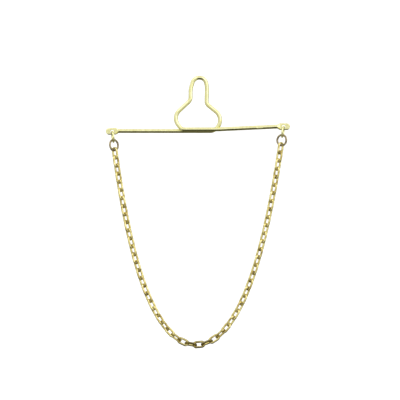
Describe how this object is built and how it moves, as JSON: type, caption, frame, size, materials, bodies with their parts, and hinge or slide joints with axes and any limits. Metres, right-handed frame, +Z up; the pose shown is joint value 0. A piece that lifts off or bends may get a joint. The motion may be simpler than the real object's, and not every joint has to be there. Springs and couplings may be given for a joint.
{
  "type": "tie chain",
  "caption": "Tie chain: one gold-tone wire bent into a bar with a keyhole button loop, and a cable chain hung from rings at its two flattened, pierced ends.",
  "frame": {"origin": "inner top of the keyhole loop, where the shirt button's shank sits, at the middle of the loop's neck", "axes": "+Z up, with the chain hanging down along -Z; +X along the bar to the wearer's left; the button's shank passes along Y, and -Y is the front"},
  "size_m": [0.0527, 0.0034, 0.0779],
  "materials": {
    "bar_gold": "polished gold-tone plate",
    "jump_ring_gold": "worn gold-tone plate, greyer than the bar",
    "chain_gold": "polished gold-tone plate with some brown tarnish"
  },
  "bodies": {
    "bar": {"bar_wire": "bar_gold"},
    "connector_ring_left": {"connector_ring_left": "bar_gold"},
    "connector_ring_right": {"connector_ring_right": "bar_gold"},
    "jump_ring_left": {"jump_ring_left": "jump_ring_gold"},
    "jump_ring_right": {"jump_ring_right": "jump_ring_gold"},
    "chain_link_01": {"chain_link_01": "chain_gold"},
    "chain_link_02": {"chain_link_02": "chain_gold"},
    "chain_link_03": {"chain_link_03": "chain_gold"},
    "chain_link_04": {"chain_link_04": "chain_gold"},
    "chain_link_05": {"chain_link_05": "chain_gold"},
    "chain_link_06": {"chain_link_06": "chain_gold"},
    "chain_link_07": {"chain_link_07": "chain_gold"},
    "chain_link_08": {"chain_link_08": "chain_gold"},
    "chain_link_09": {"chain_link_09": "chain_gold"},
    "chain_link_10": {"chain_link_10": "chain_gold"},
    "chain_link_11": {"chain_link_11": "chain_gold"},
    "chain_link_12": {"chain_link_12": "chain_gold"},
    "chain_link_13": {"chain_link_13": "chain_gold"},
    "chain_link_14": {"chain_link_14": "chain_gold"},
    "chain_link_15": {"chain_link_15": "chain_gold"},
    "chain_link_16": {"chain_link_16": "chain_gold"},
    "chain_link_17": {"chain_link_17": "chain_gold"},
    "chain_link_18": {"chain_link_18": "chain_gold"},
    "chain_link_19": {"chain_link_19": "chain_gold"},
    "chain_link_20": {"chain_link_20": "chain_gold"},
    "chain_link_21": {"chain_link_21": "chain_gold"},
    "chain_link_22": {"chain_link_22": "chain_gold"},
    "chain_link_23": {"chain_link_23": "chain_gold"},
    "chain_link_24": {"chain_link_24": "chain_gold"},
    "chain_link_25": {"chain_link_25": "chain_gold"},
    "chain_link_26": {"chain_link_26": "chain_gold"},
    "chain_link_27": {"chain_link_27": "chain_gold"},
    "chain_link_28": {"chain_link_28": "chain_gold"},
    "chain_link_29": {"chain_link_29": "chain_gold"},
    "chain_link_30": {"chain_link_30": "chain_gold"},
    "chain_link_31": {"chain_link_31": "chain_gold"},
    "chain_link_32": {"chain_link_32": "chain_gold"},
    "chain_link_33": {"chain_link_33": "chain_gold"},
    "chain_link_34": {"chain_link_34": "chain_gold"},
    "chain_link_35": {"chain_link_35": "chain_gold"},
    "chain_link_36": {"chain_link_36": "chain_gold"},
    "chain_link_37": {"chain_link_37": "chain_gold"},
    "chain_link_38": {"chain_link_38": "chain_gold"},
    "chain_link_39": {"chain_link_39": "chain_gold"},
    "chain_link_40": {"chain_link_40": "chain_gold"},
    "chain_link_41": {"chain_link_41": "chain_gold"},
    "chain_link_42": {"chain_link_42": "chain_gold"},
    "chain_link_43": {"chain_link_43": "chain_gold"},
    "chain_link_44": {"chain_link_44": "chain_gold"},
    "chain_link_45": {"chain_link_45": "chain_gold"},
    "chain_link_46": {"chain_link_46": "chain_gold"},
    "chain_link_47": {"chain_link_47": "chain_gold"},
    "chain_link_48": {"chain_link_48": "chain_gold"},
    "chain_link_49": {"chain_link_49": "chain_gold"},
    "chain_link_50": {"chain_link_50": "chain_gold"},
    "chain_link_51": {"chain_link_51": "chain_gold"},
    "chain_link_52": {"chain_link_52": "chain_gold"},
    "chain_link_53": {"chain_link_53": "chain_gold"},
    "chain_link_54": {"chain_link_54": "chain_gold"},
    "chain_link_55": {"chain_link_55": "chain_gold"}
  },
  "joints": [
    {"name": "connector_left_swing", "type": "hinge", "parent": "bar", "child": "connector_ring_left", "pos_m": [-0.02475, 0, -0.0148], "axis": [0.9996, 0, 0.0286], "range_deg": [-20, 20]},
    {"name": "connector_right_swing", "type": "hinge", "parent": "bar", "child": "connector_ring_right", "pos_m": [0.02425, 0, -0.0134], "axis": [0.9996, 0, 0.0286], "range_deg": [-20, 20]},
    {"name": "jump_left_swing", "type": "hinge", "parent": "connector_ring_left", "child": "jump_ring_left", "pos_m": [-0.02444, 0, -0.01716], "axis": [0.9996, 0, 0.029], "range_deg": [-16, 16]},
    {"name": "jump_right_swing", "type": "hinge", "parent": "connector_ring_right", "child": "jump_ring_right", "pos_m": [0.02392, 0, -0.01576], "axis": [0.9996, 0, 0.029], "range_deg": [-16, 16]},
    {"name": "link_01_swing", "type": "hinge", "parent": "jump_ring_left", "child": "chain_link_01", "pos_m": [-0.02408, 0, -0.01985], "axis": [0.9996, 0, 0.0296], "range_deg": [-6, 6]},
    {"name": "link_55_swing", "type": "hinge", "parent": "jump_ring_right", "child": "chain_link_55", "pos_m": [0.02352, 0, -0.01844], "axis": [0.9996, 0, 0.0296], "range_deg": [-6, 6]},
    {"name": "link_02_swing", "type": "hinge", "parent": "chain_link_01", "child": "chain_link_02", "pos_m": [-0.02376, 0, -0.02217], "axis": [0.9995, 0, 0.0301], "range_deg": [-6, 6]},
    {"name": "link_54_swing", "type": "hinge", "parent": "chain_link_55", "child": "chain_link_54", "pos_m": [0.02317, 0, -0.02076], "axis": [0.9995, 0, 0.0301], "range_deg": [-6, 6]},
    {"name": "link_03_swing", "type": "hinge", "parent": "chain_link_02", "child": "chain_link_03", "pos_m": [-0.02342, 0, -0.0245], "axis": [0.9995, 0, 0.0306], "range_deg": [-6, 6]},
    {"name": "link_53_swing", "type": "hinge", "parent": "chain_link_54", "child": "chain_link_53", "pos_m": [0.0228, 0, -0.02308], "axis": [0.9995, 0, 0.0306], "range_deg": [-6, 6]},
    {"name": "link_04_swing", "type": "hinge", "parent": "chain_link_03", "child": "chain_link_04", "pos_m": [-0.02307, 0, -0.02682], "axis": [0.9995, 0, 0.0312], "range_deg": [-6, 6]},
    {"name": "link_52_swing", "type": "hinge", "parent": "chain_link_53", "child": "chain_link_52", "pos_m": [0.02242, 0, -0.0254], "axis": [0.9995, 0, 0.0312], "range_deg": [-6, 6]},
    {"name": "link_05_swing", "type": "hinge", "parent": "chain_link_04", "child": "chain_link_05", "pos_m": [-0.0227, 0, -0.02914], "axis": [0.9995, 0, 0.0318], "range_deg": [-6, 6]},
    {"name": "link_51_swing", "type": "hinge", "parent": "chain_link_52", "child": "chain_link_51", "pos_m": [0.02203, 0, -0.02772], "axis": [0.9995, 0, 0.0318], "range_deg": [-6, 6]},
    {"name": "link_06_swing", "type": "hinge", "parent": "chain_link_05", "child": "chain_link_06", "pos_m": [-0.02231, 0, -0.03146], "axis": [0.9995, 0, 0.0325], "range_deg": [-6, 6]},
    {"name": "link_50_swing", "type": "hinge", "parent": "chain_link_51", "child": "chain_link_50", "pos_m": [0.02162, 0, -0.03003], "axis": [0.9995, 0, 0.0325], "range_deg": [-6, 6]},
    {"name": "link_07_swing", "type": "hinge", "parent": "chain_link_06", "child": "chain_link_07", "pos_m": [-0.02191, 0, -0.03378], "axis": [0.9994, 0, 0.0332], "range_deg": [-6, 6]},
    {"name": "link_49_swing", "type": "hinge", "parent": "chain_link_50", "child": "chain_link_49", "pos_m": [0.0212, 0, -0.03234], "axis": [0.9994, 0, 0.0332], "range_deg": [-6, 6]},
    {"name": "link_08_swing", "type": "hinge", "parent": "chain_link_07", "child": "chain_link_08", "pos_m": [-0.02149, 0, -0.03609], "axis": [0.9994, 0, 0.034], "range_deg": [-6, 6]},
    {"name": "link_48_swing", "type": "hinge", "parent": "chain_link_49", "child": "chain_link_48", "pos_m": [0.02076, 0, -0.03465], "axis": [0.9994, 0, 0.034], "range_deg": [-6, 6]},
    {"name": "link_09_swing", "type": "hinge", "parent": "chain_link_08", "child": "chain_link_09", "pos_m": [-0.02105, 0, -0.0384], "axis": [0.9994, 0, 0.0348], "range_deg": [-6, 6]},
    {"name": "link_47_swing", "type": "hinge", "parent": "chain_link_48", "child": "chain_link_47", "pos_m": [0.0203, 0, -0.03696], "axis": [0.9994, 0, 0.0348], "range_deg": [-6, 6]},
    {"name": "link_10_swing", "type": "hinge", "parent": "chain_link_09", "child": "chain_link_10", "pos_m": [-0.02059, 0, -0.0407], "axis": [0.9994, 0, 0.0357], "range_deg": [-6, 6]},
    {"name": "link_46_swing", "type": "hinge", "parent": "chain_link_47", "child": "chain_link_46", "pos_m": [0.01981, 0, -0.03926], "axis": [0.9994, 0, 0.0357], "range_deg": [-6, 6]},
    {"name": "link_11_swing", "type": "hinge", "parent": "chain_link_10", "child": "chain_link_11", "pos_m": [-0.0201, 0, -0.043], "axis": [0.9993, 0, 0.0367], "range_deg": [-6, 6]},
    {"name": "link_45_swing", "type": "hinge", "parent": "chain_link_46", "child": "chain_link_45", "pos_m": [0.01931, 0, -0.04155], "axis": [0.9993, 0, 0.0367], "range_deg": [-6, 6]},
    {"name": "link_12_swing", "type": "hinge", "parent": "chain_link_11", "child": "chain_link_12", "pos_m": [-0.01958, 0, -0.04529], "axis": [0.9993, 0, 0.0378], "range_deg": [-6, 6]},
    {"name": "link_44_swing", "type": "hinge", "parent": "chain_link_45", "child": "chain_link_44", "pos_m": [0.01878, 0, -0.04384], "axis": [0.9993, 0, 0.0378], "range_deg": [-6, 6]},
    {"name": "link_13_swing", "type": "hinge", "parent": "chain_link_12", "child": "chain_link_13", "pos_m": [-0.01903, 0, -0.04758], "axis": [0.9992, 0, 0.039], "range_deg": [-6, 6]},
    {"name": "link_43_swing", "type": "hinge", "parent": "chain_link_44", "child": "chain_link_43", "pos_m": [0.01822, 0, -0.04612], "axis": [0.9992, 0, 0.039], "range_deg": [-6, 6]},
    {"name": "link_14_swing", "type": "hinge", "parent": "chain_link_13", "child": "chain_link_14", "pos_m": [-0.01845, 0, -0.04985], "axis": [0.9992, 0, 0.0403], "range_deg": [-6, 6]},
    {"name": "link_42_swing", "type": "hinge", "parent": "chain_link_43", "child": "chain_link_42", "pos_m": [0.01762, 0, -0.0484], "axis": [0.9992, 0, 0.0403], "range_deg": [-6, 6]},
    {"name": "link_15_swing", "type": "hinge", "parent": "chain_link_14", "child": "chain_link_15", "pos_m": [-0.01782, 0, -0.05212], "axis": [0.9991, 0, 0.0418], "range_deg": [-6, 6]},
    {"name": "link_41_swing", "type": "hinge", "parent": "chain_link_42", "child": "chain_link_41", "pos_m": [0.017, 0, -0.05066], "axis": [0.9991, 0, 0.0418], "range_deg": [-6, 6]},
    {"name": "link_16_swing", "type": "hinge", "parent": "chain_link_15", "child": "chain_link_16", "pos_m": [-0.01715, 0, -0.05437], "axis": [0.9991, 0, 0.0435], "range_deg": [-6, 6]},
    {"name": "link_40_swing", "type": "hinge", "parent": "chain_link_41", "child": "chain_link_40", "pos_m": [0.01633, 0, -0.05291], "axis": [0.9991, 0, 0.0435], "range_deg": [-6, 6]},
    {"name": "link_17_swing", "type": "hinge", "parent": "chain_link_16", "child": "chain_link_17", "pos_m": [-0.01643, 0, -0.05661], "axis": [0.999, 0, 0.0454], "range_deg": [-6, 6]},
    {"name": "link_39_swing", "type": "hinge", "parent": "chain_link_40", "child": "chain_link_39", "pos_m": [0.01561, 0, -0.05515], "axis": [0.999, 0, 0.0454], "range_deg": [-6, 6]},
    {"name": "link_18_swing", "type": "hinge", "parent": "chain_link_17", "child": "chain_link_18", "pos_m": [-0.01566, 0, -0.05883], "axis": [0.9989, 0, 0.0475], "range_deg": [-6, 6]},
    {"name": "link_38_swing", "type": "hinge", "parent": "chain_link_39", "child": "chain_link_38", "pos_m": [0.01485, 0, -0.05737], "axis": [0.9989, 0, 0.0475], "range_deg": [-6, 6]},
    {"name": "link_19_swing", "type": "hinge", "parent": "chain_link_18", "child": "chain_link_19", "pos_m": [-0.01481, 0, -0.06102], "axis": [0.9987, 0, 0.05], "range_deg": [-6, 6]},
    {"name": "link_37_swing", "type": "hinge", "parent": "chain_link_38", "child": "chain_link_37", "pos_m": [0.01402, 0, -0.05957], "axis": [0.9987, 0, 0.05], "range_deg": [-6, 6]},
    {"name": "link_20_swing", "type": "hinge", "parent": "chain_link_19", "child": "chain_link_20", "pos_m": [-0.01389, 0, -0.06318], "axis": [0.9986, 0, 0.0529], "range_deg": [-6, 6]},
    {"name": "link_36_swing", "type": "hinge", "parent": "chain_link_37", "child": "chain_link_36", "pos_m": [0.01312, 0, -0.06175], "axis": [0.9986, 0, 0.0529], "range_deg": [-6, 6]},
    {"name": "link_21_swing", "type": "hinge", "parent": "chain_link_20", "child": "chain_link_21", "pos_m": [-0.01287, 0, -0.0653], "axis": [0.9984, 0, 0.0564], "range_deg": [-6, 6]},
    {"name": "link_35_swing", "type": "hinge", "parent": "chain_link_36", "child": "chain_link_35", "pos_m": [0.01215, 0, -0.06388], "axis": [0.9984, 0, 0.0564], "range_deg": [-6, 6]},
    {"name": "link_22_swing", "type": "hinge", "parent": "chain_link_21", "child": "chain_link_22", "pos_m": [-0.01174, 0, -0.06736], "axis": [0.9982, 0, 0.0605], "range_deg": [-6, 6]},
    {"name": "link_34_swing", "type": "hinge", "parent": "chain_link_35", "child": "chain_link_34", "pos_m": [0.01107, 0, -0.06597], "axis": [0.9982, 0, 0.0605], "range_deg": [-6, 6]},
    {"name": "link_23_swing", "type": "hinge", "parent": "chain_link_22", "child": "chain_link_23", "pos_m": [-0.01047, 0, -0.06934], "axis": [0.9978, 0, 0.0656], "range_deg": [-6, 6]},
    {"name": "link_33_swing", "type": "hinge", "parent": "chain_link_34", "child": "chain_link_33", "pos_m": [0.00988, 0, -0.068], "axis": [0.9978, 0, 0.0656], "range_deg": [-6, 6]},
    {"name": "link_24_swing", "type": "hinge", "parent": "chain_link_23", "child": "chain_link_24", "pos_m": [-0.00905, 0, -0.07121], "axis": [0.9974, 0, 0.0719], "range_deg": [-6, 6]},
    {"name": "link_32_swing", "type": "hinge", "parent": "chain_link_33", "child": "chain_link_32", "pos_m": [0.00856, 0, -0.06994], "axis": [0.9974, 0, 0.0719], "range_deg": [-6, 6]},
    {"name": "link_25_swing", "type": "hinge", "parent": "chain_link_24", "child": "chain_link_25", "pos_m": [-0.00743, 0, -0.07291], "axis": [0.9969, 0, 0.0793], "range_deg": [-6, 6]},
    {"name": "link_31_swing", "type": "hinge", "parent": "chain_link_32", "child": "chain_link_31", "pos_m": [0.00707, 0, -0.07176], "axis": [0.9969, 0, 0.0793], "range_deg": [-6, 6]},
    {"name": "link_26_swing", "type": "hinge", "parent": "chain_link_25", "child": "chain_link_26", "pos_m": [-0.00556, 0, -0.07433], "axis": [0.9962, 0, 0.0872], "range_deg": [-6, 6]},
    {"name": "link_30_swing", "type": "hinge", "parent": "chain_link_31", "child": "chain_link_30", "pos_m": [0.00536, 0, -0.07338], "axis": [0.9962, 0, 0.0872], "range_deg": [-6, 6]},
    {"name": "link_27_swing", "type": "hinge", "parent": "chain_link_26", "child": "chain_link_27", "pos_m": [-0.00343, 0, -0.07534], "axis": [0.9955, 0, 0.0949], "range_deg": [-6, 6]},
    {"name": "link_29_swing", "type": "hinge", "parent": "chain_link_30", "child": "chain_link_29", "pos_m": [0.00341, 0, -0.07468], "axis": [0.9955, 0, 0.0949], "range_deg": [-6, 6]},
    {"name": "link_28_roll", "type": "hinge", "parent": "chain_link_27", "child": "chain_link_28", "pos_m": [-0.00112, 0, -0.07576], "axis": [0.995, 0, 0.1001], "range_deg": [-10, 10]}
  ],
  "couplings": [
    {"joint": "connector_right_swing", "follows": "connector_left_swing", "ratio": 1},
    {"joint": "jump_right_swing", "follows": "jump_left_swing", "ratio": 1},
    {"joint": "link_55_swing", "follows": "link_01_swing", "ratio": 1},
    {"joint": "link_54_swing", "follows": "link_02_swing", "ratio": 1},
    {"joint": "link_53_swing", "follows": "link_03_swing", "ratio": 1},
    {"joint": "link_52_swing", "follows": "link_04_swing", "ratio": 1},
    {"joint": "link_51_swing", "follows": "link_05_swing", "ratio": 1},
    {"joint": "link_50_swing", "follows": "link_06_swing", "ratio": 1},
    {"joint": "link_49_swing", "follows": "link_07_swing", "ratio": 1},
    {"joint": "link_48_swing", "follows": "link_08_swing", "ratio": 1},
    {"joint": "link_47_swing", "follows": "link_09_swing", "ratio": 1},
    {"joint": "link_46_swing", "follows": "link_10_swing", "ratio": 1},
    {"joint": "link_45_swing", "follows": "link_11_swing", "ratio": 1},
    {"joint": "link_44_swing", "follows": "link_12_swing", "ratio": 1},
    {"joint": "link_43_swing", "follows": "link_13_swing", "ratio": 1},
    {"joint": "link_42_swing", "follows": "link_14_swing", "ratio": 1},
    {"joint": "link_41_swing", "follows": "link_15_swing", "ratio": 1},
    {"joint": "link_40_swing", "follows": "link_16_swing", "ratio": 1},
    {"joint": "link_39_swing", "follows": "link_17_swing", "ratio": 1},
    {"joint": "link_38_swing", "follows": "link_18_swing", "ratio": 1},
    {"joint": "link_37_swing", "follows": "link_19_swing", "ratio": 1},
    {"joint": "link_36_swing", "follows": "link_20_swing", "ratio": 1},
    {"joint": "link_35_swing", "follows": "link_21_swing", "ratio": 1},
    {"joint": "link_34_swing", "follows": "link_22_swing", "ratio": 1},
    {"joint": "link_33_swing", "follows": "link_23_swing", "ratio": 1},
    {"joint": "link_32_swing", "follows": "link_24_swing", "ratio": 1},
    {"joint": "link_31_swing", "follows": "link_25_swing", "ratio": 1},
    {"joint": "link_30_swing", "follows": "link_26_swing", "ratio": 1},
    {"joint": "link_29_swing", "follows": "link_27_swing", "ratio": 1}
  ]
}
